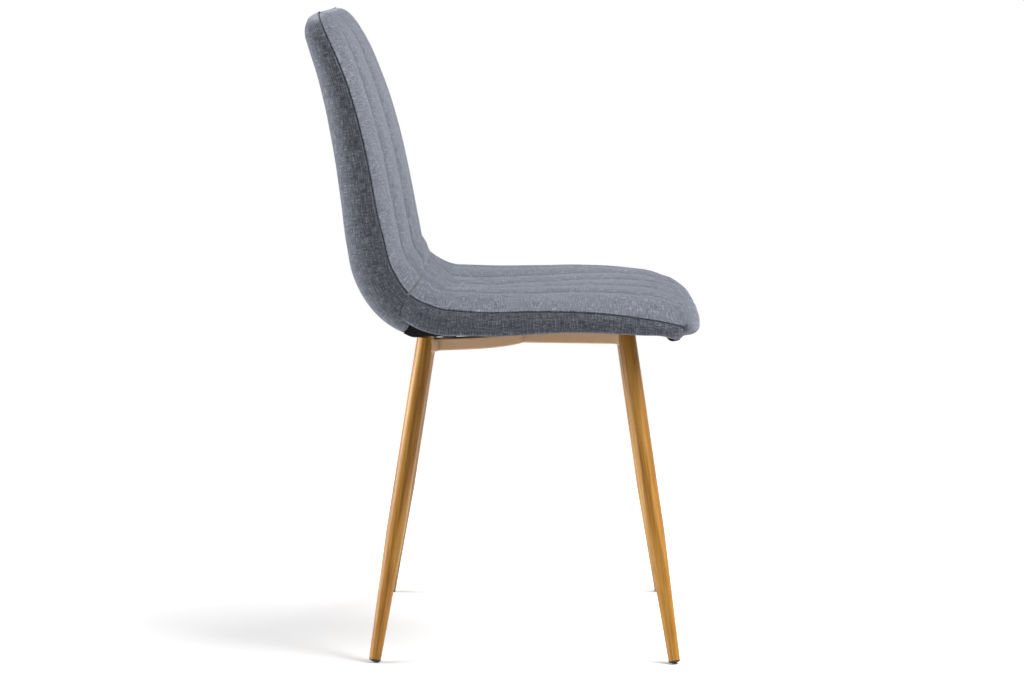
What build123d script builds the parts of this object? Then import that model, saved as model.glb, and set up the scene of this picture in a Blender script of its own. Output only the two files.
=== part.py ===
from build123d import *
import math
import os

# An upholstered dining chair: a bent plywood shell, padded and covered in fabric with stitched
# channels, bolted to a welded frame of flat tube with four splayed, tapered legs.
# Millimetres and degrees. +Z is up, the chair faces -Y, X = 0 is its plane of symmetry and
# Z = 0 is the floor.

# Driving dimensions of the shell
seat_width = 426.0             # widest, over the seat's side seams
seat_tilt = 2.2                # seat and frame rise towards the front
board_thickness = 12.0
board_margin = 27.0            # from the widest side seam in to the edge of the board
board_top_margin = 42.0        # the same at the top of the back
board_corner = 42.0            # rounding of the board's four corners
bevel_width = 48.0             # undercut along the sides of the seat board
bevel_rise = 8.5
seat_run = 306.0               # flat of the seat board, from the bend to its front edge
bend_start = 73.4              # Y where the flat of the seat ends
bend_radius = 125.0            # outside of the bend between seat and back
back_lean = 7.3                # of the back from the vertical, just above the bend
back_radius = 2300.0           # slow backward curve of the back
back_run = 308.0               # back board above the bend
cover_thickness = 1.2
padding_thickness = 1.8        # felt behind the back board
dust_cover_thickness = 1.0
soft_gap = 0.3                 # between soft pieces and what they lie on
padding_margin = 16.0          # felt inside the edge of the board
channel_count = 6
groove_depth = 4.0             # of the stitched lines below the crest of a channel
border_bulge = 0.11            # swell of the seat's side fabric, of its height
rear_edge_round = 28.0         # fabric's turn from the sides of the back to its rear
joint_foot = 80.0              # run where the side fabrics of seat and back meet, at its foot
rear_foot = 66.0               # run where the fabric of the back ends, under the seat
border_roll = 5.0              # round of the seat's side fabric at its lower edge
border_hem = 14.0              # turned in under the edge of the board
rear_height = -4.2             # rear of the covered back, behind the outside of the board
rear_top_slope = 0.85          # how fast the rear closes in above the board
dust_cover_back = 64.0         # run of the dust cover's rear edge
dust_cover_margin = 16.0       # behind the front edge of the board
foam_joint_gap = 0.6           # between the two foams, along the bend
seam_gap = 0.9                 # between two covers, at their seam
foam_gap = 0.9                 # between foam and its cover

# Driving dimensions of the frame
frame_height = 428.6           # top of the rails at Y = 0
rail_height = 17.0
rail_width = 15.0
rail_round = 2.4
rail_wall = 1.4
bow_half_width = 80.0          # rear bow, to the middle of its arms
bow_nose = -25.0               # Y of the rear bow's foremost point, to the middle of the tube
front_arm_end = (33.0, -16.0)  # where the front arms run into the rear bow
weld_gap = 0.1

# Driving dimensions of the legs
leg_diameter = 25.0
foot_diameter = 16.0           # of the leg at its foot
leg_wall = 1.4
leg_taper_height = 170.0       # below this the leg tapers
leg_top_rise = 3.0             # of the leg's cut end above the rails
front_leg_foot = (202.7, -225.3)
front_leg_top = (83.5, -162.2)  # at the middle of the rails
rear_leg_foot = (198.4, 179.5)
rear_leg_top = (87.0, 113.8)
foot_dome_radius = 14.0
foot_sole_cut = 0.4            # flat worn on the dome of a foot
foot_rim = 1.2
foot_stem = 18.0
foot_fit = 0.2

# Driving dimensions of the fastenings
rear_mount_y = 80.0
front_mount_y = -132.0
spacer_diameter = 19.0
spacer_height = 9.7
bolt_diameter = 6.0
bolt_head_diameter = 10.0
bolt_head_height = 4.0
bolt_socket = 5.0
bolt_hole = 6.6
access_hole = 12.0             # in the underside of a rail, for the bolt's head
washer_diameter = 10.0
washer_thickness = 1.2
spring_washer_thickness = 1.5
spring_washer_gap = 0.8
tee_nut_flange = 18.0
tee_nut_flange_thickness = 1.5
tee_nut_barrel = 8.0
tee_nut_length = 10.0
tee_nut_fit = 0.2

# The shell's line, seen from the side, is the outside of its board: a flat, a bend and a slow
# curve. A place on the shell is a run s along that line, from the start of the bend, and a
# height d above it on the sitter's side.
tilt = math.radians(seat_tilt)
half_width = seat_width / 2
board_half = half_width - board_margin
channel_pitch = seat_width / channel_count
shell_rise = rail_height / 2 + spacer_height + dust_cover_thickness
frame_middle = frame_height - rail_height / 2 / math.cos(tilt)
seat_base = frame_middle + shell_rise / math.cos(tilt)
bend_turn = math.pi / 2 - math.radians(back_lean) + tilt
bend_run = bend_radius * bend_turn
crook = bend_run / 2           # where the seams of seat and back meet
board_front = -seat_run
board_top = bend_run + back_run

bend_foot = (bend_start, seat_base - bend_start * math.tan(tilt))


def largest(shape):
    """The biggest solid of a shape."""
    return shape.solids().sort_by(SortBy.VOLUME)[-1]


def along(point, angle, distance):
    """The point that far away in the plane Y, Z, at an angle from +Y towards +Z."""
    return point[0] + distance * math.cos(angle), point[1] + distance * math.sin(angle)


bend_centre = along(bend_foot, math.pi / 2 - tilt, bend_radius)
back_foot = along(bend_centre, bend_turn - tilt - math.pi / 2, bend_radius)
back_centre = along(back_foot, bend_turn - tilt - math.pi / 2, back_radius)


def heading(s):
    """Direction of the shell's line at a run s, from +Y towards +Z."""
    if s <= 0:
        return -tilt
    if s <= bend_run:
        return s / bend_radius - tilt
    return bend_turn - tilt - (s - bend_run) / back_radius


def shell_point(s, d):
    """Y and Z of the place at run s and height d."""
    up = heading(s) + math.pi / 2
    if s <= 0:
        return along(along(bend_foot, -tilt, s), up, d)
    if s <= bend_run:
        return along(bend_centre, up, d - bend_radius)
    return along(back_centre, up, d + back_radius)


def shell_plane(s, turn=0.0):
    """Cross-section plane at run s: its x is X and its y is d. A turn leans it over the front."""
    y, z = shell_point(s, 0)
    up = heading(s) + math.pi / 2 + math.radians(turn)
    y_dir = Vector(0, math.cos(up), math.sin(up))
    return Plane(origin=(0, y, z), x_dir=(1, 0, 0), z_dir=Vector(1, 0, 0).cross(y_dir))


def strip(s0, s1, d0, d1, half):
    """A sheet of the shell: from s0 to s1 along its line, d0 to d1 high, half its width each way."""
    stops = [s0] + [s for s in (0.0, bend_run) if s0 < s < s1] + [s1]
    edges = []
    for d in (d0, d1):
        for a, b in zip(stops, stops[1:]):
            middle = shell_point((a + b) / 2, d)
            if b <= 0:
                edges.append(Line(shell_point(a, d), shell_point(b, d)))
            else:
                edges.append(ThreePointArc(shell_point(a, d), middle, shell_point(b, d)))
    for s in (s0, s1):
        edges.append(Line(shell_point(s, d0), shell_point(s, d1)))
    return extrude(Plane.YZ * make_face(edges), amount=half, both=True)


def round_corners(sheet, radius, ends):
    """Round the corners of a sheet at the given ends of its run."""
    corners = []
    for s in ends:
        y, z = shell_point(s, 0)
        for edge in sheet.edges().filter_by(GeomType.LINE):
            far = abs(edge.center().Y - y) + abs(edge.center().Z - z)
            across = abs((edge @ 1 - edge @ 0).X)
            if far < 2 * board_thickness and across < 1 and edge.length < 2 * board_thickness:
                corners.append(edge)
    return fillet(corners, radius)


# Stations of the upholstery: run, height of the side seam, height of the crown, how far the seam
# lies inside the widest one, and the lean over the front edge.
seat_stations = [
    (crook, 44.0, 67.5, 8.0, 0.0),
    (50.0, 45.0, 67.0, 7.0, 0.0),
    (8.0, 43.0, 64.0, 5.0, 0.0),
    (-40.0, 38.0, 60.0, 3.0, 0.0),
    (-110.0, 37.0, 57.0, 0.0, 0.0),
    (-180.0, 33.0, 55.5, 0.0, 0.0),
    (-240.0, 24.5, 51.0, 2.0, 0.0),
    (-280.0, 16.0, 43.2, 7.0, 0.0),
    (board_front, 9.0, 34.5, 13.0, 0.0),
    (board_front, 8.0, 31.4, 16.0, 19.0),
    (board_front, 8.0, 30.2, 19.0, 38.0),
    (board_front, 8.0, 30.6, 23.0, 60.0),
    (board_front, 8.0, 28.8, 27.0, 76.0),
    (board_front, 7.0, 25.1, 31.0, 95.0),
    (board_front, 5.5, 17.3, 36.0, 116.0),
    (board_front, 3.5, 10.4, 42.0, 144.0),
]
back_stations = [
    (crook, 44.0, 67.5, 8.0, 0.0),
    (135.0, 46.5, 71.2, 8.0, 0.0),
    (bend_run, 43.0, 72.0, 9.0, 0.0),
    (bend_run + 0.18 * back_run, 38.0, 69.0, 10.0, 0.0),
    (bend_run + 0.40 * back_run, 37.0, 67.0, 12.0, 0.0),
    (bend_run + 0.60 * back_run, 35.0, 62.5, 14.0, 0.0),
    (bend_run + 0.78 * back_run, 30.5, 56.0, 16.0, 0.0),
    (bend_run + 0.91 * back_run, 24.0, 48.0, 19.0, 0.0),
    (board_top - 4.0, 19.5, 39.5, 25.0, 0.0),
    (board_top + 9.0, 18.0, 31.0, 37.0, 0.0),
    (board_top + 17.0, 17.0, 23.5, 62.0, 0.0),
]
# Lower edge of the seat's side fabric: run and height, from the front corner to the bend
border_lows = [
    (board_front, -5.5),
    (-280.0, -2.0),
    (-240.0, 1.8),
    (-180.0, 5.6),
    (-110.0, 6.6),
    (-40.0, 8.0),
    (8.0, 10.2),
    (50.0, 12.2),
    (joint_foot, 13.6),
    (crook, 14.2),
]
edge_crest = 0.86              # height of the outer channel's turn, of the whole crown
edge_place = 0.62              # and its place between the last stitched line and the seam
line_margin = 8.0              # the stitched lines stay this far inside the seam
foam_floor = 0.25              # depth to which foam reaches, of its seam's height
foam_draw = 0.3                # how fast its sides draw in below the seam


def rear_of(s):
    """Height of the covered rear at run s: behind the board, and closing in above it."""
    return rear_height + rear_top_slope * max(0.0, s - board_top)


def front_section(station, inset, foam=False):
    """The padded face at a station, inset all round: channels between stitched lines, closed along
    the height of its seams. Foam goes on down, past the face of the board."""
    s, seam, crown, narrow, turn = station
    w = half_width - narrow - inset
    top = crown - inset
    base = seam - inset
    outer_line = min(channel_count / 3 * channel_pitch, w - line_margin)
    lines = [outer_line * k / 2 for k in (-2, -1, 0, 1, 2)]
    groove = top - groove_depth
    turn_x = outer_line + edge_place * (w - outer_line)
    turn_d = base + edge_crest * (top - base)
    edges = [ThreePointArc((-w, base), (-turn_x, turn_d), (lines[0], groove))]
    for a, b in zip(lines, lines[1:]):
        edges.append(ThreePointArc((a, groove), ((a + b) / 2, top), (b, groove)))
    edges.append(ThreePointArc((lines[-1], groove), (turn_x, turn_d), (w, base)))
    if foam:
        floor = max(foam_floor * base, rear_of(s) + 2 * inset)
        foot = w - foam_draw * (base - floor)
        edges.append(Line((w, base), (foot, floor)))
        edges.append(Line((foot, floor), (-foot, floor)))
        edges.append(Line((-foot, floor), (-w, base)))
    else:
        edges.append(Line((w, base), (-w, base)))
    return shell_plane(s, turn) * make_face(edges)


def padded_face(stations, inset):
    """The loft of the padded face through its stations."""
    return loft([front_section(station, inset) for station in stations])


# The frame lies in one plane, which carries the seat. Heights there are over the middle of the
# rails, and distances along it are close to those along Y.
frame_plane = Plane(origin=(0, 0, frame_middle), x_dir=(1, 0, 0),
                    z_dir=(0, math.sin(tilt), math.cos(tilt)))
rail_top = rail_height / 2
wall_top = rail_top - rail_wall
board_low = shell_rise
board_high = shell_rise + board_thickness
flange_low = board_high - tee_nut_flange_thickness
bow_bend_y = bow_nose + bow_half_width
arm_slope = (front_leg_top[0] - front_arm_end[0]) / (front_leg_top[1] - front_arm_end[1])
front_mount_x = front_leg_top[0] + arm_slope * (front_mount_y - front_leg_top[1])
mounts = []
for side in (-1, 1):
    mounts.append((side * bow_half_width, rear_mount_y))
    mounts.append((side * front_mount_x, front_mount_y))


def at_mounts(low, high, diameter):
    """Round pegs at the four mounts, between two heights."""
    peg = Cylinder(diameter / 2, high - low)
    return [frame_plane * Pos(x, y, (low + high) / 2) * peg for x, y in mounts]


def rings(low, high, outside, inside):
    """Rings at the four mounts."""
    pairs = zip(at_mounts(low, high, outside), at_mounts(low - 1, high + 1, inside))
    return [peg - hole for peg, hole in pairs]


# Board, felt and dust cover
hole_reach = 4.0


def front_outline(inset):
    """Everything inside the board's outline, seen from the front: it narrows up the back."""
    low = board_half - inset
    high = half_width - board_top_margin - inset
    bend_z = shell_point(bend_run, 0)[1]
    top_z = shell_point(board_top, 0)[1]
    outline = Polyline((-low, 0), (low, 0), (low, bend_z), (high, top_z), (high, 2 * top_z),
                       (-high, 2 * top_z), (-high, top_z), (-low, bend_z), close=True)
    return extrude(Plane.XZ * make_face(outline), amount=2 * seat_run, both=True)


shell_board = strip(board_front, board_top, 0, board_thickness, board_half) & front_outline(0)
shell_board = round_corners(shell_board, board_corner, (board_front, board_top))


def undercut(drop):
    """The space below the bevels of the seat board, lowered by a drop."""
    flat = board_half - bevel_width
    slope = bevel_rise / bevel_width
    run = 2 * bevel_width
    wedges = []
    for side in (-1, 1):
        wedge = Polyline((side * flat, -drop), (side * (flat + run), slope * run - drop),
                         (side * (flat + run), -run), (side * flat, -run), close=True)
        face = shell_plane(board_front) * make_face(wedge)
        wedges.append(extrude(face, amount=2 * seat_run, both=True))
    return wedges


shell_board -= undercut(0)
shell_board -= at_mounts(board_low - hole_reach, board_high + hole_reach, tee_nut_barrel + tee_nut_fit)
shell_board -= at_mounts(flange_low, board_high + hole_reach, tee_nut_flange + tee_nut_fit)

felt_outside = -soft_gap - padding_thickness
rear_padding = strip(crook, board_top - padding_margin, felt_outside, -soft_gap, board_half)
rear_padding = round_corners(rear_padding & front_outline(padding_margin), board_corner,
                             (board_top - padding_margin,))

dust_cover_front = board_front + dust_cover_margin
dust_cover = strip(dust_cover_front, dust_cover_back, -dust_cover_thickness, bevel_rise, board_half)
dust_cover = round_corners(dust_cover, board_corner, (dust_cover_front,))
over_it = strip(dust_cover_front, dust_cover_back, 0, 2 * bevel_rise, board_half) - undercut(0)
dust_cover = largest(dust_cover - over_it - undercut(dust_cover_thickness))
dust_cover -= at_mounts(board_low - hole_reach, board_low + hole_reach, bolt_hole)
print("board, felt and dust cover")

# Foam and the covers of the sitter's side. Each cover is open along its seams and where it meets
# the next one, and closed over the top of the back.
foam_inset = cover_thickness + foam_gap
no_foam = strip(board_front - soft_gap, board_top + soft_gap, -board_margin,
                board_thickness + soft_gap, seat_width)


def reach(s0, s1):
    """All of the shell and its upholstery between two runs."""
    return strip(s0, s1, -board_margin - board_thickness, 0.8 * bend_radius, seat_width)


back_end = back_stations[-1][0]
seat_cover = padded_face(seat_stations, 0) - padded_face(seat_stations, cover_thickness)
inside_back = padded_face(back_stations, cover_thickness) & reach(0, back_end - cover_thickness)
back_cover = padded_face(back_stations, 0) - inside_back
seat_foam = loft([front_section(station, foam_inset, True) for station in seat_stations]) - no_foam
back_foam = loft([front_section(station, foam_inset, True) for station in back_stations]) - no_foam
back_foam &= reach(crook + foam_joint_gap, back_end - foam_inset)
print("foam and covers")

def border_low(s):
    """Height of the side fabric's lower edge at run s."""
    for (s0, low0), (s1, low1) in zip(border_lows, border_lows[1:]):
        if s <= s1:
            return low0 + (low1 - low0) * (s - s0) / (s1 - s0)
    return border_lows[-1][1]


# Fabric round the back: down both sides and over the rear, from the top seam to below the bend
rear_stations = [(rear_foot, 44.5, 7.5, rear_height)]
for s, seam, crown, narrow, turn in back_stations:
    rear_stations.append((s, seam, narrow, rear_of(s)))


def rear_section(station, inset):
    """The shell's rear at a station, inset all round and closed at the height of the side seams."""
    s, seam, narrow, rear = station
    w = half_width - narrow - inset
    low = rear + inset
    top = seam - seam_gap + inset
    r = min(rear_edge_round, edge_crest * (seam - rear)) - inset
    corner = r * (1 - math.sqrt(0.5))
    edges = [Line((-w, top), (-w, low + r)),
             ThreePointArc((-w, low + r), (corner - w, low + corner), (r - w, low)),
             Line((r - w, low), (w - r, low)),
             ThreePointArc((w - r, low), (w - corner, low + corner), (w, low + r)),
             Line((w, low + r), (w, top)),
             Line((w, top), (-w, top))]
    return shell_plane(s) * make_face(edges)


def rear_skin(inset):
    """The loft of the rear sections."""
    return loft([rear_section(station, inset) for station in rear_stations])


inside_rear = rear_skin(cover_thickness) & reach(0, back_end - cover_thickness)
joint_low = Vector(*shell_point(joint_foot, border_low(joint_foot) - seam_gap))
joint_high = Vector(*shell_point(crook, back_stations[0][1]))
hem_end = Vector(*shell_point(rear_foot - bend_radius / 4, border_low(rear_foot) - seam_gap))


def side_space(joint_corners, other_corners):
    """What lies between the joint's line, drawn out upwards, and other corners, over the whole width."""
    low, high = joint_corners
    corners = [low, high * 2 - low] + other_corners
    return extrude(Plane.YZ * make_face(Polyline(*corners, close=True)), amount=seat_width, both=True)


ahead = side_space((joint_low, joint_high), [joint_high * 2 - joint_low - Vector(bend_radius, 0), hem_end])
outer_back_cover = largest(rear_skin(0) - inside_rear - ahead)
back_foam = largest(back_foam - outer_back_cover - back_cover)


# Fabric down each side of the seat, rolled in under the edge of the board
def border_section(station, side):
    """One strip of side fabric: it swells below its seam, rolls over and turns in under the board."""
    s, seam, crown, narrow, turn = station
    t = cover_thickness
    w = half_width - narrow
    low = border_low(s)
    roll = min(border_roll, (seam - low) / 3)
    swell = border_bulge * (seam - low)

    def outline(inset):
        q = roll - inset
        return [(w - inset, seam - seam_gap), (w + swell - inset, (seam + low + roll) / 2),
                (w - inset, low + roll), (w - roll + q * math.sqrt(0.5), low + roll - q * math.sqrt(0.5)),
                (w - roll, low + inset), (w - roll - border_hem, low + inset)]

    outer, inner = [[(side * x, d) for x, d in outline(inset)] for inset in (0, t)]
    edges = [ThreePointArc(*outer[:3]), ThreePointArc(*outer[2:5]), Line(*outer[4:]),
             Line(outer[5], inner[5]), Line(inner[5], inner[4]), ThreePointArc(*inner[4:1:-1]),
             ThreePointArc(*inner[2::-1]), Line(inner[0], outer[0])]
    return shell_plane(s) * make_face(edges)


border_stations = [station for station in seat_stations if station[4] == 0]
clear = Vector(seam_gap, 0)
joint_low, joint_high = joint_low * 2 - joint_high - clear, joint_high - clear
behind = side_space((joint_low, joint_high), [joint_high * 2 - joint_low + Vector(bend_radius, 0),
                                              joint_low + Vector(bend_radius, 0)])
borders = {}
for side, name in ((-1, "left"), (1, "right")):
    borders[name] = largest(loft([border_section(station, side) for station in border_stations]) - behind)
seat_foam = largest(seat_foam - borders["left"] - borders["right"])
print("side and rear fabric")

# Legs: round tube, straight above and tapered below, cut level at the top
leg_places = {
    "front_left": (-1, front_leg_foot, front_leg_top),
    "front_right": (1, front_leg_foot, front_leg_top),
    "rear_left": (-1, rear_leg_foot, rear_leg_top),
    "rear_right": (1, rear_leg_foot, rear_leg_top),
}


def leg_axis(side, foot, top):
    """The plane at a leg's foot on the floor, square to the leg, and the leg's slope."""
    height = frame_middle - top[1] * math.tan(tilt)
    direction = Vector(side * (top[0] - foot[0]), top[1] - foot[1], height)
    slope = height / direction.length
    return Plane(origin=(side * foot[0], foot[1], 0), z_dir=direction), slope


def revolved(profile, plane):
    """A turned solid on the axis of a plane, from a profile of radius and height."""
    face = make_face(Polyline(*[(r, 0, t) for r, t in profile], close=True))
    return plane * revolve(face, Axis.Z)


def tube_profile(thinner, start, knee, end):
    """Half profile of a leg, thinned all over."""
    r_foot = foot_diameter / 2 - thinner
    r_top = leg_diameter / 2 - thinner
    return [(0, start), (r_foot, start), (r_top, knee), (r_top, end), (0, end)]


above = (Align.CENTER, Align.CENTER, Align.MIN)
below = (Align.CENTER, Align.CENTER, Align.MAX)
dome_base = math.sqrt(foot_dome_radius ** 2 - (foot_diameter / 2) ** 2)
legs = {}
leg_blanks = {}
feet = {}
for name, (side, foot, top) in leg_places.items():
    axis, slope = leg_axis(side, foot, top)
    dome_centre = (foot_dome_radius - foot_sole_cut) / slope
    start = dome_centre - dome_base + foot_rim
    knee = leg_taper_height / slope
    leg_height = frame_height - top[1] * math.tan(tilt) + leg_top_rise
    end = (leg_height + leg_diameter) / slope
    level = Pos(0, 0, leg_height) * Box(2 * seat_width, 2 * seat_width, 2 * leg_diameter, align=above)
    blank = revolved(tube_profile(0, start, knee, end), axis)
    bore = revolved(tube_profile(leg_wall, start - 1, knee, end + 1), axis)
    legs[name] = blank - bore - level
    leg_blanks[name] = revolved(tube_profile(-weld_gap, start, knee, end), axis)
    r_rim = foot_diameter / 2
    r_stem = r_rim - leg_wall - foot_fit
    dome = Pos(axis.origin + axis.z_dir * dome_centre) * Sphere(foot_dome_radius)
    keep = axis * Pos(0, 0, start - foot_rim) * Cylinder(2 * r_rim, 3 * r_rim, align=below)
    rim = axis * Pos(0, 0, start - foot_rim / 2) * Cylinder(r_rim, foot_rim)
    stem = axis * Pos(0, 0, start) * Cylinder(r_stem, foot_stem, align=above)
    floor = Box(2 * seat_width, 2 * seat_width, leg_diameter, align=below)
    feet[name] = (dome & keep) + rim + stem - floor
print("legs and feet")

# Rails: flat tube with rounded edges. The rear bow joins the rear legs, and a straight arm runs
# from each front leg to its flank.
def rail(path, start, direction):
    """The outside of a rail and its bore, along a path in the frame's plane."""
    plane = Plane(origin=start, x_dir=Vector(direction).cross(Vector(0, 0, 1)), z_dir=direction)
    outside = RectangleRounded(rail_width, rail_height, rail_round)
    inside = RectangleRounded(rail_width - 2 * rail_wall, rail_height - 2 * rail_wall, rail_round - rail_wall)
    return frame_plane * sweep(plane * outside, path), frame_plane * sweep(plane * inside, path)


bow_end_y = rear_leg_top[1]
h = bow_half_width
bend = h * math.sqrt(0.5)
bow_path = Wire([
    Edge.make_line((-h, bow_end_y), (-h, bow_bend_y)),
    Edge.make_three_point_arc((-h, bow_bend_y), (-bend, bow_bend_y - bend), (0, bow_nose)),
    Edge.make_three_point_arc((0, bow_nose), (bend, bow_bend_y - bend), (h, bow_bend_y)),
    Edge.make_line((h, bow_bend_y), (h, bow_end_y)),
])
bow_outside, bow_inside = rail(bow_path, (-h, bow_end_y, 0), (0, -1, 0))
bolt_ways = at_mounts(0, rail_top + hole_reach, bolt_hole)
bolt_ways += at_mounts(-rail_top - hole_reach, 0, access_hole)
rear_bow = bow_outside - bow_inside - leg_blanks["rear_left"] - leg_blanks["rear_right"] - bolt_ways
front_arms = {}
for side, name in ((-1, "left"), (1, "right")):
    start = (side * front_leg_top[0], front_leg_top[1], 0)
    finish = (side * front_arm_end[0], front_arm_end[1], 0)
    direction = Vector(finish) - Vector(start)
    outside, inside = rail(Wire([Edge.make_line(start, finish)]), start, direction)
    arm = outside - inside - leg_blanks["front_" + name] - bow_outside - bolt_ways
    front_arms[name] = largest(arm)
print("rails")

# Fastenings at the four mounts: a spacer on each rail, a bolt up through it into a tee nut, and
# two washers under the bolt's head
spring_low = wall_top - washer_thickness - spring_washer_thickness
seat_spacers = rings(rail_top, rail_top + spacer_height, spacer_diameter, bolt_hole)
flat_washers = rings(wall_top - washer_thickness, wall_top, washer_diameter, bolt_hole)
spring_washers = []
for (x, y), ring in zip(mounts, rings(spring_low, wall_top - washer_thickness, bolt_head_diameter, bolt_hole)):
    split = frame_plane * Pos(x, y + bolt_head_diameter / 2, spring_low) * Box(
        spring_washer_gap, bolt_head_diameter, 4 * spring_washer_thickness)
    spring_washers.append(ring - split)
seat_bolts = []
tee_nuts = []
for x, y in mounts:
    place = frame_plane * Pos(x, y, 0)
    shank_length = flange_low - spring_low
    shank = Pos(0, 0, spring_low) * Cylinder(bolt_diameter / 2, shank_length, align=above)
    head = Pos(0, 0, spring_low) * Cylinder(bolt_head_diameter / 2, bolt_head_height, align=below)
    socket = Pos(0, 0, spring_low - bolt_head_height) * extrude(
        RegularPolygon(bolt_socket / 2, 6, major_radius=False), bolt_head_height / 2)
    seat_bolts.append(place * (shank + head - socket))
    flange = Pos(0, 0, flange_low) * Cylinder(tee_nut_flange / 2, tee_nut_flange_thickness, align=above)
    barrel = Pos(0, 0, flange_low) * Cylinder(tee_nut_barrel / 2, tee_nut_length, align=below)
    thread = Pos(0, 0, flange_low) * Cylinder(bolt_diameter / 2 + tee_nut_fit / 2, 3 * tee_nut_length)
    tee_nuts.append(place * (flange + barrel - thread))
print("fastenings")

nodes = {
    "shell_board": shell_board,
    "rear_padding": rear_padding,
    "dust_cover": dust_cover,
    "seat_foam": seat_foam,
    "back_foam": back_foam,
    "seat_cover": seat_cover,
    "back_cover": back_cover,
    "outer_back_cover": outer_back_cover,
    "seat_border_left": borders["left"],
    "seat_border_right": borders["right"],
    "rear_bow": rear_bow,
    "front_arm_left": front_arms["left"],
    "front_arm_right": front_arms["right"],
    "seat_spacers": Compound(children=seat_spacers),
    "seat_bolts": Compound(children=seat_bolts),
    "flat_washers": Compound(children=flat_washers),
    "spring_washers": Compound(children=spring_washers),
    "tee_nuts": Compound(children=tee_nuts),
}
for name in leg_places:
    nodes["leg_" + name] = legs[name]
    nodes["foot_" + name] = feet[name]

os.makedirs("parts", exist_ok=True)
for name, solid in nodes.items():
    export_step(solid, f"parts/{name}.step")
print(len(nodes), "nodes written")
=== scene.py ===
import bpy
import math
import numpy as np
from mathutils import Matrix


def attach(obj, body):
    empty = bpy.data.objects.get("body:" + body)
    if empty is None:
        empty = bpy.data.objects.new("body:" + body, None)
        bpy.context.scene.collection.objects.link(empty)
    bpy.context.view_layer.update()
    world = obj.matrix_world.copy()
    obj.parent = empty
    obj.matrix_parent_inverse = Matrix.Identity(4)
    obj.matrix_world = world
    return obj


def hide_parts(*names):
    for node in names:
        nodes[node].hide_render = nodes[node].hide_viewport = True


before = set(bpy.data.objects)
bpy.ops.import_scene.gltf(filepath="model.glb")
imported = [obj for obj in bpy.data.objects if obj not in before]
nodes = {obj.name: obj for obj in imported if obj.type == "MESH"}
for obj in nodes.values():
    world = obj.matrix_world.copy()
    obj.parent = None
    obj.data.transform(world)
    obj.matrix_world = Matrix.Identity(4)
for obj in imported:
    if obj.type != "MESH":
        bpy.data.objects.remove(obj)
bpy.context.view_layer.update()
scene = bpy.context.scene
mm = 0.001
print("frame:", len(nodes), "nodes")


# numbers and grids

def easeThrough(places, values, x):
    # smooth line through given points: cubic Hermite spans, slopes weighed from both neighbours
    places = np.asarray(places, float)
    values = np.asarray(values, float)
    step = np.diff(places)
    rise = np.diff(values) / step
    slope = np.concatenate([rise[:1], np.empty(len(rise) - 1), rise[-1:]])
    slope[1:-1] = (rise[:-1] * step[1:] + rise[1:] * step[:-1]) / (step[:-1] + step[1:])
    k = np.clip(np.searchsorted(places, x, side="right") - 1, 0, len(step) - 1)
    t = (x - places[k]) / step[k]
    bow = step[k] * t * (1 - t) * (slope[k] * (1 - t) - slope[k + 1] * t)
    return values[k] + (values[k + 1] - values[k]) * t * t * (3 - 2 * t) + bow


def bunched(count, share=1.0):
    # 0 to 1 in count steps, closer together at both ends
    t = np.linspace(0, 1, count + 1)
    return (1 - share) * t + share * (1 - np.cos(np.pi * t)) / 2


def runLength(*axes, along=0):
    # length walked along a grid, from its first row or column
    hops = np.sqrt(sum(np.diff(a, axis=along) ** 2 for a in axes))
    start = np.zeros_like(np.take(hops, [0], axis=along))
    return np.cumsum(np.concatenate([start, hops], axis=along), axis=along)


def smoothStep(t):
    # 0 to 1, level at both ends
    t = np.clip(t, 0, 1)
    return t * t * (3 - 2 * t)


def gridFaces(rows, cols, closedCols=False):
    # the four corners of each cell; closedCols joins the last column to the first
    r = np.arange(rows - 1) * cols
    c = np.arange(cols if closedCols else cols - 1)
    r, c = [a.ravel() for a in np.meshgrid(r, c, indexing="ij")]
    c2 = (c + 1) % cols
    return np.stack([r + c, r + c2, r + cols + c2, r + cols + c], axis=1)


def makeMesh(name, points, faces, uv=None, fold=None):
    # points (n, 3), faces (m, 4), uv (n, 2) in metres of cloth, and painted shade (n), 0 in the open to 1
    # in a seam
    mesh = bpy.data.meshes.new(name)
    mesh.vertices.add(len(points))
    mesh.vertices.foreach_set("co", np.asarray(points, np.float32).ravel())
    mesh.loops.add(faces.size)
    mesh.loops.foreach_set("vertex_index", faces.ravel().astype(np.int32))
    mesh.polygons.add(len(faces))
    mesh.polygons.foreach_set("loop_start", np.arange(0, faces.size, faces.shape[1], dtype=np.int32))
    mesh.polygons.foreach_set("use_smooth", np.full(len(faces), True))
    if uv is not None:
        layer = mesh.uv_layers.new(name="cloth")
        layer.data.foreach_set("uv", np.asarray(uv, np.float32)[faces.ravel()].ravel())
    # painted shade is kept as a point attribute, which the fabric reads to darken its colour
    if fold is not None:
        shade = mesh.attributes.new("fold", "FLOAT", "POINT")
        shade.data.foreach_set("value", np.asarray(fold, np.float32))
    mesh.update(calc_edges=True)
    mesh.validate()
    piece = bpy.data.objects.new(name, mesh)
    scene.collection.objects.link(piece)
    return piece


def makeGrid(name, x, y, z, uv=None, fold=None, flip=False, closedCols=False):
    faces = gridFaces(*x.shape, closedCols)
    if flip:
        faces = faces[:, ::-1]
    points = np.stack([x.ravel(), y.ravel(), z.ravel()], axis=1)
    flat = None if uv is None else np.stack([uv[0].ravel(), uv[1].ravel()], axis=1)
    return makeMesh(name, points, faces, flat, None if fold is None else fold.ravel())


def dress(piece, finish, slot, *stoodFor):
    piece.data.materials.append(finish)
    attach(piece, "root")
    if stoodFor:
        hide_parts(*stoodFor)
    return piece


# the shell's line, as a run s along the outside of its board and a height d on the sitter's side

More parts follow.
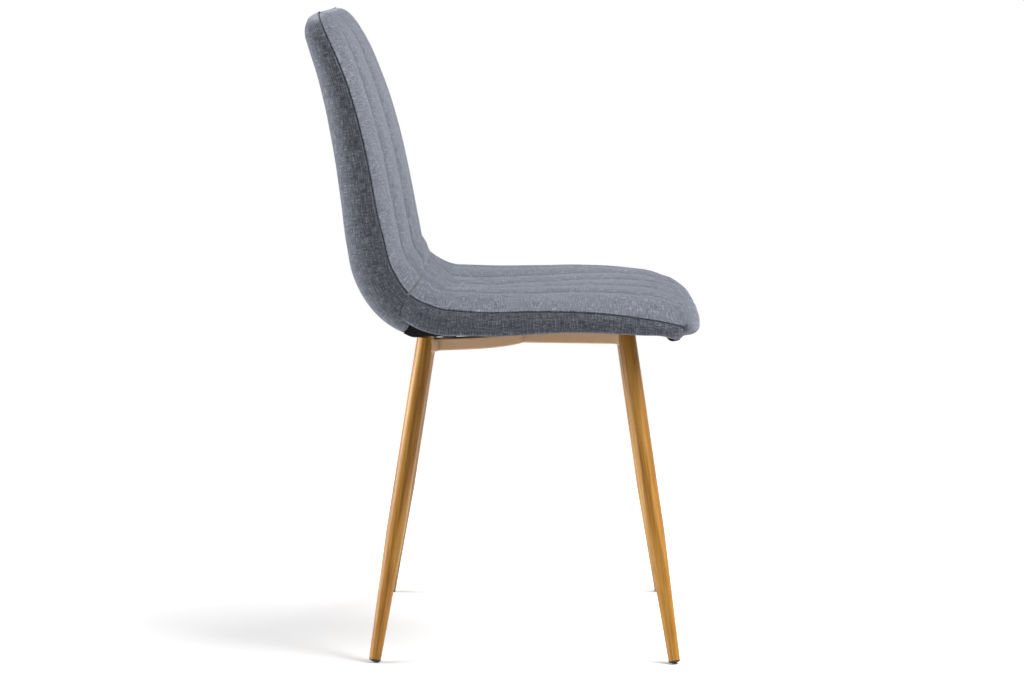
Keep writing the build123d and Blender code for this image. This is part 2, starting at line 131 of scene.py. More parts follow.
shell = {
    "halfWidth": 0.213,
    "tilt": math.radians(2.2),         # seat rises to the front
    "bendStart": 0.0734,
    "seatHeight": 0.43931,             # board's underside at y = 0
    "bendRadius": 0.125,
    "backLean": math.radians(7.3),
    "backRadius": 2.3,
    "seatRun": 0.306,
    "backRun": 0.308,
    "boardHalf": 0.186,
    "dartHeight": 0.008,               # the front turns about this height above the board's underside
}
bendTurn = math.pi / 2 - shell["backLean"] + shell["tilt"]
bendRun = shell["bendRadius"] * bendTurn
crook = 0.094                          # run of the seam between back and seat
boardFront = -shell["seatRun"]
boardTop = bendRun + shell["backRun"]
backTop = boardTop + 0.017             # where the back's two covers meet


def shellPoint(s, d, turn=0.0):
    # y and z: a flat, an arc of bendRadius, an arc of backRadius the other way, then d square to them.
    # turn swings the part of d above dartHeight forward and under the front edge.
    tilt = shell["tilt"]
    end = bendTurn - tilt
    flat = np.minimum(s, 0)
    bend = np.clip(s, 0, bendRun) / shell["bendRadius"] - tilt
    back = end - np.maximum(s - bendRun, 0) / shell["backRadius"]
    angle = bend + back - end
    y = shell["bendStart"] + flat * math.cos(tilt)
    z = shell["seatHeight"] - shell["bendStart"] * math.tan(tilt) - flat * math.sin(tilt)
    y = y + shell["bendRadius"] * (np.sin(bend) + math.sin(tilt))
    z = z + shell["bendRadius"] * (math.cos(tilt) - np.cos(bend))
    y = y + shell["backRadius"] * (math.sin(end) - np.sin(back))
    z = z + shell["backRadius"] * (np.cos(back) - math.cos(end))
    reach = d - shell["dartHeight"]
    y = y - shell["dartHeight"] * np.sin(angle) - reach * np.sin(angle + turn)
    z = z + shell["dartHeight"] * np.cos(angle) + reach * np.cos(angle + turn)
    return y, z


def readStations(stations, count, share):
    # station columns eased along the walk of the crown, in count rows
    s, seam, crown, narrow, turn, dome = np.array(stations, float).T
    turn = np.radians(turn)
    walk = runLength(*shellPoint(s, crown * mm, turn))
    rows = walk[-1] * bunched(count, share)
    columns = [easeThrough(walk, c, rows) for c in (s, seam * mm, crown * mm, narrow * mm, turn, dome * mm)]
    return [c[:, None] for c in columns]


# stations: run s (m), then seam height, height at the outer lines and narrowing (mm), swing over the
# front (degrees), and how much the middle stands above the outer lines (mm)
seatStations = [
    (crook, 44.0, 69.5, 8.0, 0, 3.0),
    (0.050, 45.0, 67.5, 7.0, 0, -0.3),
    (0.008, 43.0, 63.8, 5.0, 0, -7.6),
    (-0.040, 38.0, 59.5, 3.0, 0, -9.5),
    (-0.110, 37.0, 56.5, 0.0, 0, -6.5),
    (-0.180, 33.0, 55.0, 0.0, 0, -2.5),
    (-0.240, 24.5, 50.5, 2.0, 0, 0.5),
    (-0.280, 16.0, 44.2, 7.0, 0, 1.0),
    (boardFront, 8.3, 34.8, 13.0, 0, 0.5),
    (boardFront, 8.0, 31.6, 14.0, 25, 0),
    (boardFront, 8.0, 32.0, 14.0, 50, 0),
    (boardFront, 8.0, 35.0, 14.0, 75, 0),
    (boardFront, 8.0, 36.0, 14.0, 92, 0),
    (boardFront, 8.0, 35.8, 14.0, 112, 0),
    (boardFront, 8.0, 31.2, 14.0, 135, 0),
    (boardFront, 8.0, 25.5, 14.0, 160, 0),
    (boardFront, 8.0, 24.5, 14.0, 185, 0),
    (boardFront, 8.0, 27.0, 16.0, 212, 0),
    (boardFront, 8.0, 33.0, 20.0, 235, 0),
    (boardFront, 8.0, 45.0, 26.0, 250, 0),
]
backStations = [
    (crook, 44.0, 69.5, 8.0, 0, 3.0),
    (0.113, 45.4, 69.5, 8.0, 0, 10.0),
    (0.135, 46.0, 68.5, 8.0, 0, 15.0),
    (bendRun, 43.0, 63.2, 9.0, 0, 16.8),
    (bendRun + 0.055, 38.0, 59.5, 10.0, 0, 17.5),
    (bendRun + 0.123, 37.0, 57.5, 12.0, 0, 18.0),
    (bendRun + 0.185, 35.0, 54.5, 14.0, 0, 17.0),
    (bendRun + 0.240, 30.5, 49.5, 16.0, 0, 15.0),
    (bendRun + 0.280, 24.0, 44.5, 19.0, 0, 12.0),
    (boardTop - 0.004, 19.5, 39.0, 25.0, 0, 7.5),
    (boardTop + 0.009, 18.0, 32.0, 37.0, 0, 4.5),
    (boardTop + 0.015, 17.2, 24.5, 57.0, 0, 2.0),
    (backTop, 17.0, 19.0, 68.0, 0, 0),
]


# the padded panels: channels between stitched lines, rolled over to a seam on each side

panel = {
    "rows": 120,
    "rowBunch": 0.6,                   # how far rows crowd to both ends, 0 to 1
    "sideLines": 2,                    # stitched lines on each side of the middle one
    "lineStep": 0.071,                 # between stitched lines
    "lineMargin": 0.010,               # the outer lines stay this far inside the seam
    "cellSteps": 14,
    "edgeSteps": 16,
    "domePower": 1.5,
    "fall": 1.7,                       # power of the outer channel's fall to the seam
    "frontBow": 0.003,                 # the front edge falls back this much at the outer lines
    "valley": 0.0046,                  # fall from a channel's crest to its stitched line
    "valleyPower": 3.4,
    "crease": 0.0022,
    "creaseReach": 0.0016,
    "shadeReach": 0.0013,              # half width of the painted shade along a seam or stitched line
    "lip": 0.0014,                     # round of the fabric where it turns in to a seam
    "crookLip": 0.0034,
    "seamGap": 0.0013,
    "tuck": 0.007,                     # depth of the turned-in edge
    "cornerTuck": 0.020,               # and how much more it is at the front corners
    "tuckTurn": math.radians(60),      # swing over the front by which it gets there
    "lipSteps": 4,                     # columns of the round at a seam
    "leanSteps": 7,                    # and on the padded panels, where it starts further out
    "hemShares": (0.3, 0.65, 1.0),     # columns of the turned-in edge, of its depth
    "crookShares": (1.0, 0.55, 0.2),   # rows turned down into the crook, of the same depth
    "topHemRun": 0.003,                # cloth taken up by the hem at the top
    "crookGap": 0.5,                   # between crook hem and seam line at the top, of the seam's gap
    "crookLean": 0.6,                  # and how much of it is lost on the way down
    "crookShade": 0.4,                 # below 1, the painted shade along the crook is wider than along the other seams
    "pucker": 0.00035,
    "puckerStep": 0.0115,
    "puckerWander": 9,
    "puckerStart": 0.003,              # distance from a line over which puckers grow
    "puckerReach": 0.009,              # and over which they die away
    "waviness": 0.0006,
    "leastRise": 0.0004,               # of the outer lines above the seam's round
    "cornerTurn": math.radians(45),    # swing at which the front corners are fully round
    "easeIn": 1.6,                     # above 1, lines are at full depth low on the outer channels
    "fadeStart": math.radians(35),     # swing at which the seat's lines start to ease out
    "fadeTurn": math.radians(70),      # and over which they do
    "fadeRun": 0.02,                   # the back's ease out over this run below the top
    "thickness": 0.0014,
}
lipStart = math.radians(-50)           # lean of the panel where its edge starts to turn in
hemColumns = panel["lipSteps"] + len(panel["hemShares"])


def unevenness(x, s, seed):
    # slow swells of hand-laid foam: a few crossing sines, -1 to 1
    a = np.sin(31 * x + 17 * s + seed) * np.sin(23 * s - 11 * x + 2.1 * seed)
    b = np.sin(71 * x - 43 * s + 1.7 * seed) * np.sin(57 * s + 29 * x + 0.6 * seed)
    return 0.65 * a + 0.35 * b


def lipBow(depth, reach):
    # height lost at depth from an edge that rounds off with radius reach
    near = np.clip(depth, 0, reach)
    return reach - np.sqrt(near * (2 * reach - near))


def turnedEdge(half, seam, depth, up=1, first=math.radians(22.5), steps=panel["lipSteps"]):
    # a round of radius lip at the seam, then straight in: x and d, outside first
    q = panel["lip"]
    bow = np.linspace(first, math.pi / 2, steps)[None, :]
    inward = np.array(panel["hemShares"])[None, :] * depth
    x = np.concatenate([half - q * (1 - np.cos(bow)), half - q - inward], axis=1)
    d = np.concatenate([seam + up * q * (1 - np.sin(bow)), seam + 0 * inward + 0 * half], axis=1)
    return x, d


def paintedSeamShade(depth):
    # painted shade: 1 past the seam's edge, falling off on the open side of it
    return np.exp(-(np.maximum(depth, 0) / panel["shadeReach"]) ** 2)


def channelPanel(stations, seed, fade, tuck, topRows=()):
    # x runs from seam to seam, with t from 0 at the outer line to 1 at the seam. Outer channels fall
    # by 1 - t^fall, ending in a full round at the front corners: (1 - t^fall)^(1 / (1 + corner)).
    # Between the outer lines the middle stands proud or is dished: dome (1 - |x / outer|^domePower).
    # Each line then draws the surface in by valley (1 - r / half a channel)^valleyPower, and close by
    # with crease exp(-r / creaseReach), r being the distance from the nearest line.
    s, seam, crown, narrow, turn, dome = readStations(stations, panel["rows"], panel["rowBunch"])
    n = panel["sideLines"]
    crown = crown + panel["thickness"]
    half = shell["halfWidth"] - narrow
    outer = np.minimum(n * panel["lineStep"], half - panel["lineMargin"])
    foot = seam + panel["seamGap"] / 2
    q = panel["lip"]
    low = foot + q * (1 - math.sin(lipStart))
    end = half - q * (1 - math.cos(lipStart))
    top = np.maximum(crown, low + panel["leastRise"])
    corner = np.clip(turn / panel["cornerTurn"], 0, 1)
    t = np.sin(bunched(panel["edgeSteps"])[None, 1:] * math.pi / 2)
    edgeX = outer + (end - outer) * t
    edgeD = low + (top - low) * np.clip(1 - t ** panel["fall"], 0, 1) ** (1 / (1 + corner))
    hemX, hemD = turnedEdge(half, foot, tuck(turn), first=lipStart, steps=panel["leanSteps"])
    hemX, hemD = hemX[:, 1:], hemD[:, 1:]
    cell = bunched(panel["cellSteps"])[:-1]
    inner = np.concatenate([cell + k for k in range(-n, n)] + [[n]])[None, :] * outer / n
    x = np.concatenate([-hemX[:, ::-1], -edgeX[:, ::-1], inner, edgeX, hemX], axis=1)
    middle = top + dome * (1 - np.abs(inner / outer) ** panel["domePower"])
    d = np.concatenate([hemD[:, ::-1], edgeD[:, ::-1], middle, edgeD, hemD], axis=1)
    lines = outer * np.arange(-n, n + 1)[None, :] / n
    r = np.min(np.abs(x[:, :, None] - lines[:, None, :]), axis=2)
    drawn = panel["valley"] * np.clip(1 - 2 * n * r / outer, 0, 1) ** panel["valleyPower"]
    drawn += panel["crease"] * np.exp(-r / panel["creaseReach"])
    rise = np.clip((d - low) / np.maximum(crown - low, mm), 0, 1)
    bowed = panel["frontBow"] * np.sin(np.clip(turn, 0, math.pi)) * np.clip(x / outer, -1, 1) ** 2
    fall = runLength(*shellPoint(s, crown, turn))
    wander = panel["puckerWander"] * unevenness(x, 3 * fall, seed)
    wave = np.sin(2 * math.pi * fall / panel["puckerStep"] + wander)
    near = np.exp(-r / panel["puckerReach"])
    grown = 1 - np.exp(-r / panel["puckerStart"])
    puckers = panel["pucker"] * wave * near * grown * rise
    lift = panel["waviness"] * unevenness(x, fall, seed) * rise
    d = d - (drawn * fade(s, turn) + bowed) * np.clip(rise * panel["easeIn"], 0, 1) + puckers + lift
    d = d - lipBow(np.abs(s - crook), panel["crookLip"])
    across = runLength(x, d, along=1)
    across = across - across[:, x.shape[1] // 2][:, None]
    # painted shade: dark along the seams, the stitched lines and the crook, where the cloth dips in
    seamShade = paintedSeamShade(across[:, -1:] - np.abs(across) - tuck(turn))
    fold = np.maximum(seamShade, np.exp(-(r / panel["shadeReach"]) ** 2) * fade(s, turn))
    fold = np.maximum(fold, paintedSeamShade(panel["crookShade"] * np.abs(s - crook)))
    y, z = shellPoint(s, d, turn)
    sheet = [a + 0 * x for a in (x, y, z, across, fall, fold)]
    sink = np.array(panel["crookShares"])[:, None] * panel["tuck"]  # rows turned down into the crook
    apart = panel["seamGap"] * (panel["crookGap"] - panel["crookLean"] * sink / panel["tuck"])
    downY, downZ = shellPoint(s[0] - apart * np.sign(s[0] - s[1]), d[0] - sink)
    # the rows turned down into the crook are painted full shade
    hem = [x[0] + 0 * sink, downY, downZ, across[0] + 0 * sink, fall[0] - sink, 1 + 0 * sink]
    for run, height in topRows:                                     # and in at the seam at the top
        overY, overZ = shellPoint(backTop + run, np.minimum(d[-1], height))
        # these rows are painted full shade too
        over = (x[-1], overY, overZ, across[-1], fall[-1] + panel["topHemRun"], 1.0)
        sheet = [np.concatenate([a, [o + 0 * x[-1]]]) for a, o in zip(sheet, over)]
    x, y, z, across, fall, fold = [np.concatenate([h + 0 * x[0], a]) for h, a in zip(hem, sheet)]
    return x, y, z, (across, fall), fold


# columns of the turned-in edge and the outer channel, before the first stitched line
edgeColumns = panel["leanSteps"] - 1 + len(panel["hemShares"]) + panel["edgeSteps"]
lineColumns = edgeColumns + panel["cellSteps"] * np.arange(2 * panel["sideLines"] + 1)
hemRows = len(panel["crookShares"])


def thicken(piece, thickness):
    # cloth has its thickness on the inside, then one round of smoothing
    shellMod = piece.modifiers.new("cloth", "SOLIDIFY")
    shellMod.thickness = thickness
    shellMod.offset = -1
    smoothMod = piece.modifiers.new("smooth", "SUBSURF")
    smoothMod.levels = smoothMod.render_levels = 1


def seatFade(s, turn):
    # the lines ease out under the front edge
    return np.clip(1 - (turn - panel["fadeStart"]) / panel["fadeTurn"], 0, 1)


def backFade(s, turn):
    # and below the seam at the top
    return np.clip((backTop - s) / panel["fadeRun"], 0, 1)


def seatTuck(turn):
    # past the front edge the panel's sides fold in under the corner
    return panel["tuck"] + panel["cornerTuck"] * np.clip(turn / panel["tuckTurn"], 0, 1)


def backTuck(turn):
    return panel["tuck"] + 0 * turn


seatGrid = channelPanel(seatStations, 1.0, seatFade, seatTuck)
# rows that turn the back in at its top seam: run past the seam, and height
topHem = ((0.0007, 0.0186), (0.0003, 0.0166), (-0.0025, 0.0138), (-0.008, 0.0125))
backGrid = channelPanel(backStations, 4.0, backFade, backTuck, topHem)
seatPanel = makeGrid("seat_panel", *seatGrid, flip=True)
backPanel = makeGrid("back_panel", *backGrid)
print("panels:", len(seatPanel.data.vertices), "and", len(backPanel.data.vertices), "points")


# the filling pushes the panels out between their seams and stitched lines

swell = {
    "pressure": 4.0,
    "mass": 0.25,
    "tension": 22.0,
    "bending": 0.35,
    "frames": 20,
    "quality": 5,
    "cap": 0.0028,                     # the furthest that a point may move
    "heldColumns": 12,                 # held from each side seam,
    "heldRows": 2,                     # past the rows in the crook
    "heldTop": 3,                      # and before the rows of the top hem
}


def heldPoints(shape):
    # what the sewing holds: edges, stitched lines, both ends and the turned-in rows
    held = np.zeros(shape, bool)
    held[:, :swell["heldColumns"]] = True
    held[:, -swell["heldColumns"]:] = True
    held[:, lineColumns] = True
    held[:hemRows + swell["heldRows"]] = True
    held[-swell["heldTop"] - len(topHem):] = True
    return held.ravel()


def pointsOf(piece):
    flat = np.empty(3 * len(piece.data.vertices), np.float32)
    piece.data.vertices.foreach_get("co", flat)
    return flat.reshape(-1, 3)


def inflate(piece, held):
    # a run of cloth under pressure, then each point is brought back to within cap of its start
    start = pointsOf(piece)
    piece.vertex_groups.new(name="held").add([int(k) for k in np.flatnonzero(held)], 1.0, "REPLACE")
    run = piece.modifiers.new("swell", "CLOTH")
    run.point_cache.frame_start = 1
    run.point_cache.frame_end = swell["frames"]
    cloth = run.settings
    cloth.quality = swell["quality"]
    cloth.mass = swell["mass"]
    cloth.tension_stiffness = cloth.compression_stiffness = swell["tension"]
    cloth.bending_stiffness = swell["bending"]
    cloth.use_pressure = True
    cloth.uniform_pressure_force = swell["pressure"]
    cloth.vertex_group_mass = "held"
    cloth.effector_weights.gravity = 0
    for number in range(1, swell["frames"] + 1):
        scene.frame_set(number)
    swollen = piece.evaluated_get(bpy.context.evaluated_depsgraph_get())
    moved = pointsOf(swollen) - start
    far = np.linalg.norm(moved, axis=1, keepdims=True)
    moved = moved * np.minimum(1, swell["cap"] / np.maximum(far, 1e-9))
    piece.modifiers.remove(run)
    piece.vertex_groups.clear()
    piece.data.vertices.foreach_set("co", (start + moved).ravel())
    piece.data.update()
    scene.frame_set(1)
    most = round(float(far.max()), 5)
    print(piece.name, "swelled by", most, "at most and", round(float(far.mean()), 5), "on average")


for piece, grid in ((seatPanel, seatGrid), (backPanel, backGrid)):
    inflate(piece, heldPoints(grid[0].shape))
    thicken(piece, panel["thickness"])


# thread along the stitched lines

thread = {
    "pitch": 0.0044,
    "length": 0.0034,
    "radius": 0.00040,
    "rise": 0.00035,                   # a stitch stands this much proud in its middle
    "rings": 5,
    "sides": 6,
    "ends": 0.98,                      # place of the end rings, of half a stitch
    "sight": 0.002,                    # the line's direction is read this far to both sides
    "firstRow": 2,                     # rows without thread past the crook,
    "seatRows": 34,                    # at the seat's front
    "backRows": 6,                     # and at the back's top
}


def readAlong(spots, walk, line):
    # a line's points at walked lengths
    return np.stack([np.interp(spots, walk, c) for c in line.T], axis=1)


def stitchRow(line, side, up):
    # capsules along a line of points: ring radius follows sqrt(1 - t^2), t from -1 to 1 along a stitch
    walk = runLength(*line.T)
    spots = (np.arange(int(walk[-1] / thread["pitch"])) + 0.5) * thread["pitch"]
    sight = thread["sight"]
    middle = readAlong(spots, walk, line)
    ahead = readAlong(spots + sight, walk, line) - readAlong(spots - sight, walk, line)
    ahead /= np.linalg.norm(ahead, axis=1, keepdims=True)
    beside = readAlong(spots, walk, side)
    normal = np.cross(beside, ahead) * up
    normal /= np.linalg.norm(normal, axis=1, keepdims=True)
    beside = np.cross(ahead, normal)
    t = np.linspace(-thread["ends"], thread["ends"], thread["rings"])[None, :, None, None]
    turn = np.linspace(0, 2 * math.pi, thread["sides"], endpoint=False)[None, None, :, None]
    ring = thread["radius"] * np.sqrt(1 - t * t)
    places = middle[:, None, None] + ahead[:, None, None] * t * thread["length"] / 2
    places = places + beside[:, None, None] * ring * np.cos(turn)
    places = places + normal[:, None, None] * (ring * np.sin(turn) + thread["rise"] * (1 - t * t))
    return places.reshape(-1, thread["rings"] * thread["sides"], 3)


def stitchedLines(name, piece, shape, bare, up):
    # rows of stitches on all lines, leaving the last bare rows of the panel without
    points = pointsOf(piece).reshape(*shape, 3)[hemRows + thread["firstRow"]:-bare]
    rows = [stitchRow(points[:, c], points[:, c + 1] - points[:, c - 1], up) for c in lineColumns]
    points = np.concatenate(rows)
    one = gridFaces(thread["rings"], thread["sides"], closedCols=True)
    faces = one[None] + (np.arange(len(points)) * thread["rings"] * thread["sides"])[:, None, None]
    return makeMesh(name, points.reshape(-1, 3), faces.reshape(-1, 4))


seatThread = stitchedLines("seat_stitches", seatPanel, seatGrid[0].shape, thread["seatRows"], 1)
backBare = thread["backRows"] + len(topHem)
backThread = stitchedLines("back_stitches", backPanel, backGrid[0].shape, backBare, -1)
print("stitches:", len(seatThread.data.polygons) + len(backThread.data.polygons), "faces")


# columns of the stations, and how finely the other covers read them
seamColumn, narrowColumn, swingColumn = 1, 3, 4
fineRows, fineBunch = 400, 0.3


def stationLine(stations, column, s):
    # one station column at runs s, on the part that doesn't swing over the front
    rows = readStations([st for st in stations if st[swingColumn] == 0], fineRows, fineBunch)
    order = np.argsort(rows[0][:, 0])
    return np.interp(s, rows[0][order, 0], rows[column][order, 0])


# fabric round the rear and the sides of the back

rear = {
    "foot": 0.058,                     # run where its rear ends under the seat
    "corner": 0.064,                   # and the same at its sides
    "stripFoot": 0.0152,               # below this height its sides pass behind the strips
    "stripEase": 0.003,
    "jointSlope": 0.42,                # the joint with a side strip leans back towards its foot
    # strength of the painted shade along the joint with a side strip
    "jointShade": 0.7,
    "jointTop": 0.044,                 # heights along the joint: its upper end,
    "sideTop": 0.042,                  # a short side,
    "roundTop": 0.039,                 # then the round
    "roundTall": 0.043,
    "edgeRound": 0.030,
    "edgeShare": 0.93,                 # part of the side's height that the round takes
    "wideShare": 0.9,                  # the round is no wider than this part of it
    "leastTall": 0.0005,               # the section is never flatter than this
    "leastSide": 0.0003,
    "bow": 0.0006,                     # swell of the rear
    "waviness": 0.0005,
    "waveTop": 0.03,                   # none of it from this height up
    "rows": 96,
    "rowBunch": 0.7,
    "sideSteps": 4,
    "roundSteps": 18,
    "flatSteps": 18,
}


def jointLine(d):
    # run of the joint between the rear fabric and a side strip, at height d
    return crook + rear["jointSlope"] * (d - rear["jointTop"])


def rearLine(s):
    # height of the covered rear, closing in over the board's top to the seam
    places = [0.055, 0.074, 0.118, 0.150, bendRun, 0.217, 0.260, 0.303, 0.345, 0.388, 0.432,
              boardTop - 0.020, boardTop - 0.004, boardTop + 0.008, boardTop + 0.0155, backTop]
    heights = [-2.6, -4.6, -6.2, -6.0, -7.0, -7.8, -6.5, -4.6, -3.3, -2.8, -3.0,
               -4.8, -4.6, 0.6, 9.5, 15.5]
    return easeThrough(places, np.array(heights) * mm, s)


def rearPanel():
    # a section is a turned-in edge, a short side, an ellipse quarter and half the rear.
    # Rows fan out: the sides start at the joint, the rear further down, under the seat.
    side = np.linspace(0, 1, rear["sideSteps"] + 1)[1:-1]
    sweep = np.linspace(0, math.pi / 2, rear["roundSteps"] + 1)[:-1]
    flat = np.linspace(0, 1, rear["flatSteps"] + 1)
    hem = hemColumns
    face = hem + side.size
    bend = face + sweep.size
    heights = np.concatenate([np.full(hem, rear["jointTop"]),
                              rear["sideTop"] - (rear["sideTop"] - rear["roundTop"]) * side,
                              rear["roundTop"] - rear["roundTall"] * np.sin(sweep)])
    belowStrip = np.clip((rear["stripFoot"] - heights) / rear["stripEase"], 0, 1)
    start = jointLine(heights) * (1 - belowStrip) + rear["corner"] * belowStrip
    start = np.concatenate([start, rear["corner"] + (rear["foot"] - rear["corner"]) * flat])[None, :]
    s = start + (backTop - start) * bunched(rear["rows"], rear["rowBunch"])[:, None]
    held = np.maximum(s, crook)
    half = shell["halfWidth"] - stationLine(backStations, narrowColumn, held)
    seam = stationLine(backStations, seamColumn, held) - panel["seamGap"] / 2
    low = np.minimum(rearLine(s), seam - rear["leastTall"])
    edge = np.maximum(seam - panel["lip"], low + rear["leastSide"])
    tall = rear["edgeShare"] * (edge - low)
    wide = np.minimum(rear["edgeRound"], rear["wideShare"] * (edge - low))
    hemX, hemD = turnedEdge(half[:, :1], seam[:, :1], panel["tuck"], up=-1)
    x = half + 0 * s
    d = low + 0 * s
    x[:, :hem] = hemX[:, ::-1]
    d[:, :hem] = np.maximum(hemD[:, ::-1], low[:, :hem])
    d[:, hem:face] = edge[:, hem:face] - side * (edge - low - tall)[:, hem:face]
    x[:, face:bend] -= wide[:, face:bend] * (1 - np.cos(sweep))
    d[:, face:bend] += tall[:, face:bend] * (1 - np.sin(sweep))
    x[:, bend:] = (half - wide)[:, bend:] * (1 - flat)
    d[:, bend:] -= rear["bow"] * np.sin(flat * math.pi / 2) ** 2
    x[:, :bend] -= lipBow(s - start, panel["lip"])[:, :bend]
    x = np.concatenate([x, -x[:, -2::-1]], axis=1)
    d, s, start = [np.concatenate([a, a[:, -2::-1]], axis=1) for a in (d, s, start)]
    lowDown = np.clip((rear["waveTop"] - d) / rear["waveTop"], 0, 1)
    d = d + rear["waviness"] * unevenness(x, s, 7.0) * lowDown
    y, z = shellPoint(s, d)
    across = runLength(x, d, along=1)
    across = across - across[:, x.shape[1] // 2][:, None]
    # painted shade along the seam and along the joint with the side strips
    fold = paintedSeamShade(across[:, -1:] - np.abs(across) - panel["tuck"])
    beside = heights > rear["stripFoot"]
    onStrip = np.concatenate([beside, np.zeros(2 * flat.size - 1, bool), beside[::-1]])
    fold = np.maximum(fold, rear["jointShade"] * paintedSeamShade(s - start) * onStrip)
    return x, y, z, (s + 0 * x, across), fold


outerBack = makeGrid("outer_back", *rearPanel(), flip=True)
thicken(outerBack, panel["thickness"])
print("outer back")


# strips of fabric down both sides of the seat, their lower edges turned in to the board

strip = {
    "rows": 96,
    "rowBunch": 0.6,
    "faceSteps": 12,
    "roundSteps": 8,
    "hemShares": (0.35, 0.7, 1.0),     # columns of the turned-in lower edge, of its depth
    "hemRise": 0.002,
    "front": boardFront - 0.001,
    "faceTop": 0.042,                  # heights along the joint: the face,
    "roundTop": 0.018,                 # the round below it
    "hemHeight": 0.014,                # and the lower edge
    "leastTall": 0.006,
    "bulge": 0.09,                     # swell, of the strip's height
    "lowRound": 0.0045,
    "roundShare": 0.9,                 # the most of its height that the round takes
    "frontRound": 0.0135,              # the strip rolls under at the front corner,
    "rollStart": -0.262,               # from this run on,
    "rollRun": 0.044,                  # over this length,
    "rollIn": 0.03,                    # with its lower edge this much further in
    "boardGap": 0.0012,
    "meetReach": 0.040,                # it leans into the rear fabric's round over this run
    "noseIn": 0.35,                    # its front end is drawn in
    "noseUp": 0.5,                     # and, at the foot, up
    "noseTop": 0.006,
    "noseTall": 0.012,
    "waviness": 0.0005,
}


def stripLow(s):
    # lower edge of the side fabric: high at the bend, under the board at the front
    places = [-0.320, -0.308, -0.300, -0.291, -0.282, -0.249, -0.197, -0.151, -0.104, -0.064, -0.025, 0.020,
              0.061, 0.100]
    heights = [-7.6, -8.2, -8.4, -5.8, -2.2, 2.0, 7.0, 9.4, 8.6, 7.8, 9.6, 11.2, 12.7, 14.6]
    return easeThrough(places, np.array(heights) * mm, s)


def sideStrip(side):
    # a turned-in edge at the seam, a swelling face, a quarter round, then in to the board.
    # The rear end follows the leaning joint, so rows fan out towards it.
    first = strip["front"]
    a = np.linspace(0, 1, strip["faceSteps"] + 1)[None, 1:-1]
    bow = np.linspace(0, math.pi / 2, strip["roundSteps"] + 1)[None, :]
    tail = np.array(strip["hemShares"])[None, :]
    face = strip["faceTop"] - (strip["faceTop"] - strip["roundTop"]) * a[0]
    lower = strip["roundTop"] - (strip["roundTop"] - strip["hemHeight"]) * np.sin(bow[0])
    heights = np.concatenate([np.full(hemColumns, rear["jointTop"]), face, lower,
                              np.full(tail.size, strip["hemHeight"])])
    last = jointLine(heights)[None, :]
    s = first + (last - first) * bunched(strip["rows"], strip["rowBunch"])[:, None]
    held = np.clip(s, boardFront, crook)
    half = shell["halfWidth"] - stationLine(seatStations, narrowColumn, held)
    seam = stationLine(seatStations, seamColumn, held) - panel["seamGap"] / 2
    low = np.minimum(stripLow(s), seam - strip["leastTall"])
    ease = np.clip((strip["rollStart"] - s) / strip["rollRun"], 0, 1)
    q = strip["lowRound"] + (strip["frontRound"] - strip["lowRound"]) * smoothStep(ease)
    foot = seam - panel["lip"]
    q = np.minimum(q, strip["roundShare"] * (foot - low))
    n = hemColumns
    m = n + a.size
    k = m + bow.size
    hemX, hemD = turnedEdge(half[:, :1], seam[:, :1], panel["tuck"], up=-1)
    x = np.empty_like(s)
    d = np.empty_like(s)
    x[:, :n] = hemX[:, ::-1]
    d[:, :n] = hemD[:, ::-1]
    bulge = strip["bulge"] * (foot - low - q) * (1 - ease)
    x[:, n:m] = half[:, n:m] + bulge[:, n:m] * np.sin(math.pi * a)
    d[:, n:m] = foot[:, n:m] - a * (foot - low - q)[:, n:m]
    x[:, m:k] = half[:, m:k] - q[:, m:k] * (1 - np.cos(bow))
    d[:, m:k] = low[:, m:k] + q[:, m:k] * (1 - np.sin(bow))
    inside = shell["boardHalf"] + strip["boardGap"] - strip["rollIn"] * ease[:, k:]
    x[:, k:] = (half - q)[:, k:] + (inside - (half - q)[:, k:]) * tail
    d[:, k:] = low[:, k:] + strip["hemRise"] * tail
    x = x - lipBow(last - s, panel["lip"])
    meet = np.clip(1 - (last - s) / strip["meetReach"], 0, 1) ** 2
    down = np.clip((rear["roundTop"] - d) / rear["roundTall"], 0, 1)
    x = x - meet * rear["edgeRound"] * (1 - np.sqrt(1 - down * down))
    nose = lipBow(s - first, strip["frontRound"])
    x = x - strip["noseIn"] * nose
    d = d + strip["noseUp"] * nose * np.clip((strip["noseTop"] - d) / strip["noseTall"], 0, 1)
    x = x + strip["waviness"] * unevenness(d * 4, s, 2.0 + side) * (1 - ease)
    y, z = shellPoint(s, d)
    across = runLength(x, d, along=1)
    # painted shade along the seam and the joint with the rear fabric
    fold = np.maximum(paintedSeamShade(across - panel["tuck"]), rear["jointShade"] * paintedSeamShade(last - s))
    return side * x, y, z, (across, s + 0 * x), fold


strips = {}
for side, name in ((-1, "left"), (1, "right")):
    strips[name] = makeGrid("side_strip_" + name, *sideStrip(side), flip=side > 0)
    thicken(strips[name], panel["thickness"])
print("side strips")


# black cloth under the seat, folded up over the board's edges

under = {
    "front": boardFront + 0.002,
    "back": 0.0650,
    "drop": 0.0011,                    # its outside, under the board
    "rearDrop": 0.0045,                # behind, it lies over the hem of the rear fabric
    "sag": 0.0110,                     # its front edge hangs below the rolled-in fabric
    "edgeRound": 0.002,
    "frontCorner": 0.018,
    "levelStart": -0.273,              # forward of this run it comes to hang level,
    "levelRun": 0.018,                 # over this length
    "hemStart": 0.040,                 # and from this run back it lies over the rear fabric's hem
    "hemRun": 0.015,
    "hemWide": 0.003,
    "boardGap": 0.0008,
    "climb": 0.002,                    # its edges go up this far past the side fabric's lower edge
    "leastSag": 0.00001,               # but not where it hangs more than this
    "bevelStart": 0.138,               # the board is undercut from here to its edge
    "bevelSlope": 8.5 / 48,
    "waviness": 0.0008,
    "thickness": 0.0008,
    "rows": 70,
    "rowBunch": 0.5,
    "edgeSteps": 6,
    "roundSteps": 5,
    "flatSteps": 60,
}


def frontShare(s):
    # 0 to 1 over the last part before the front, where the cloth hangs level
    return smoothStep((under["levelStart"] - s) / under["levelRun"])


